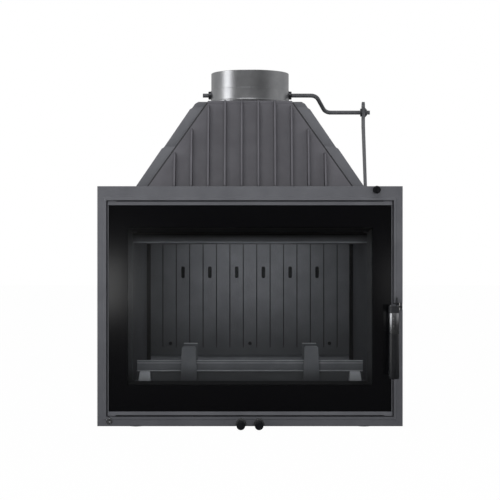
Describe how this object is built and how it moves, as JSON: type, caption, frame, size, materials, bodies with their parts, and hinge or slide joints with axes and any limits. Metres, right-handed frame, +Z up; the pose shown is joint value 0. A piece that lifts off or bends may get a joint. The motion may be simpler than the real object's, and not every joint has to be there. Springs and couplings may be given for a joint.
{
  "type": "fireplace insert",
  "caption": "Cast iron fireplace insert with a finned smoke hood, round flue collar, pull-operated damper, hinged glass door with a lever handle and two air controls under the door.",
  "frame": {"origin": "on the floor, at the middle of the insert's bounding box", "axes": "+X to the viewer's right, +Y back into the fireplace, +Z up towards the flue"},
  "size_m": [0.71, 0.477, 0.854],
  "materials": {
    "cast_iron_grey": "grey heat-proof paint on fine sand-cast iron",
    "cast_iron_dark": "bare dark cast iron of the fire chamber",
    "steel_plain": "plain turned and rolled steel",
    "steel_collar": "bright rolled steel tube",
    "steel_sleeve": "polished steel",
    "black_paint": "satin black paint",
    "black_grip": "semi-gloss black plastic",
    "black_knob": "gloss black moulded knobs",
    "door_glass": "clear ceramic glass with a printed black border",
    "rope": "black woven glass-fibre rope and tape"
  },
  "bodies": {
    "insert": {"facade_frame": "cast_iron_grey", "corner_screw": "cast_iron_grey", "front_plate": "cast_iron_dark", "frame_screws": "steel_plain", "side_wall_left": "cast_iron_grey", "side_wall_right": "cast_iron_grey", "rear_wall": "cast_iron_grey", "base_plate": "cast_iron_grey", "hood_flange": "cast_iron_grey", "hood_bolts": "steel_plain", "hood_front": "cast_iron_grey", "hood_left": "cast_iron_grey", "hood_right": "cast_iron_grey", "hood_rear": "cast_iron_grey", "hood_top": "cast_iron_grey", "flue_collar": "steel_collar", "side_lining_left": "cast_iron_dark", "side_lining_right": "cast_iron_dark", "rear_lining": "cast_iron_dark", "lining_screws": "steel_plain", "baffle": "cast_iron_dark", "hearth_floor": "cast_iron_dark", "fire_grate": "cast_iron_dark", "ash_shelf": "steel_plain", "ash_pan": "steel_plain", "log_guard": "cast_iron_dark", "guard_back_plates": "cast_iron_dark", "guard_end_blocks": "cast_iron_grey", "rod_bushes": "steel_plain", "shutter_rails": "steel_plain", "levelling_feet": "steel_plain", "foot_nuts": "steel_plain", "hinge_pins": "steel_plain"},
    "door": {"door_top_rail": "cast_iron_grey", "door_bottom_rail": "cast_iron_grey", "door_left_stile": "cast_iron_grey", "door_right_stile": "cast_iron_grey", "door_glass": "door_glass", "glass_tape": "rope", "door_gasket": "rope", "ball_catch": "steel_plain", "handle_bracket": "cast_iron_grey"},
    "handle": {"handle_lever": "black_paint", "handle_pin": "steel_plain", "handle_cap": "black_paint", "handle_sleeve": "steel_sleeve", "handle_grip": "black_grip"},
    "damper": {"damper_shaft": "black_paint", "damper_plate": "cast_iron_dark", "damper_clamps": "steel_plain", "crank_nut": "black_paint"},
    "damper_pull": {"link_bar": "black_paint", "pull_rod": "steel_plain", "pull_knob": "black_knob"},
    "air_left": {"air_rod_left": "steel_plain", "air_knob_left": "black_knob", "air_shutter_left": "steel_plain"},
    "air_right": {"air_rod_right": "steel_plain", "air_knob_right": "black_knob", "air_shutter_right": "steel_plain"}
  },
  "joints": [
    {"name": "door_hinge", "type": "hinge", "parent": "insert", "child": "door", "pos_m": [-0.3215, -0.151, 0.28], "axis": [0, 0, -1], "range_deg": [0, 100]},
    {"name": "handle_pivot", "type": "hinge", "parent": "door", "child": "handle", "pos_m": [0.333, -0.1695, 0.286], "axis": [-1, 0, 0], "range_deg": [0, 18]},
    {"name": "damper_turn", "type": "hinge", "parent": "insert", "child": "damper", "pos_m": [0, 0.0735, 0.8008], "axis": [-1, 0, 0], "range_deg": [0, 90]},
    {"name": "damper_pull_slide", "type": "slide", "parent": "insert", "child": "damper_pull", "axis": [0, -1, 0], "range_m": [0, 0.0773]},
    {"name": "air_left_slide", "type": "slide", "parent": "insert", "child": "air_left", "axis": [0, -1, 0], "range_m": [0, 0.04]},
    {"name": "air_right_slide", "type": "slide", "parent": "insert", "child": "air_right", "axis": [0, -1, 0], "range_m": [0, 0.04]}
  ],
  "couplings": [
    {"joint": "damper_pull_slide", "follows": "damper_turn", "m_per_rad": 0.04916}
  ]
}
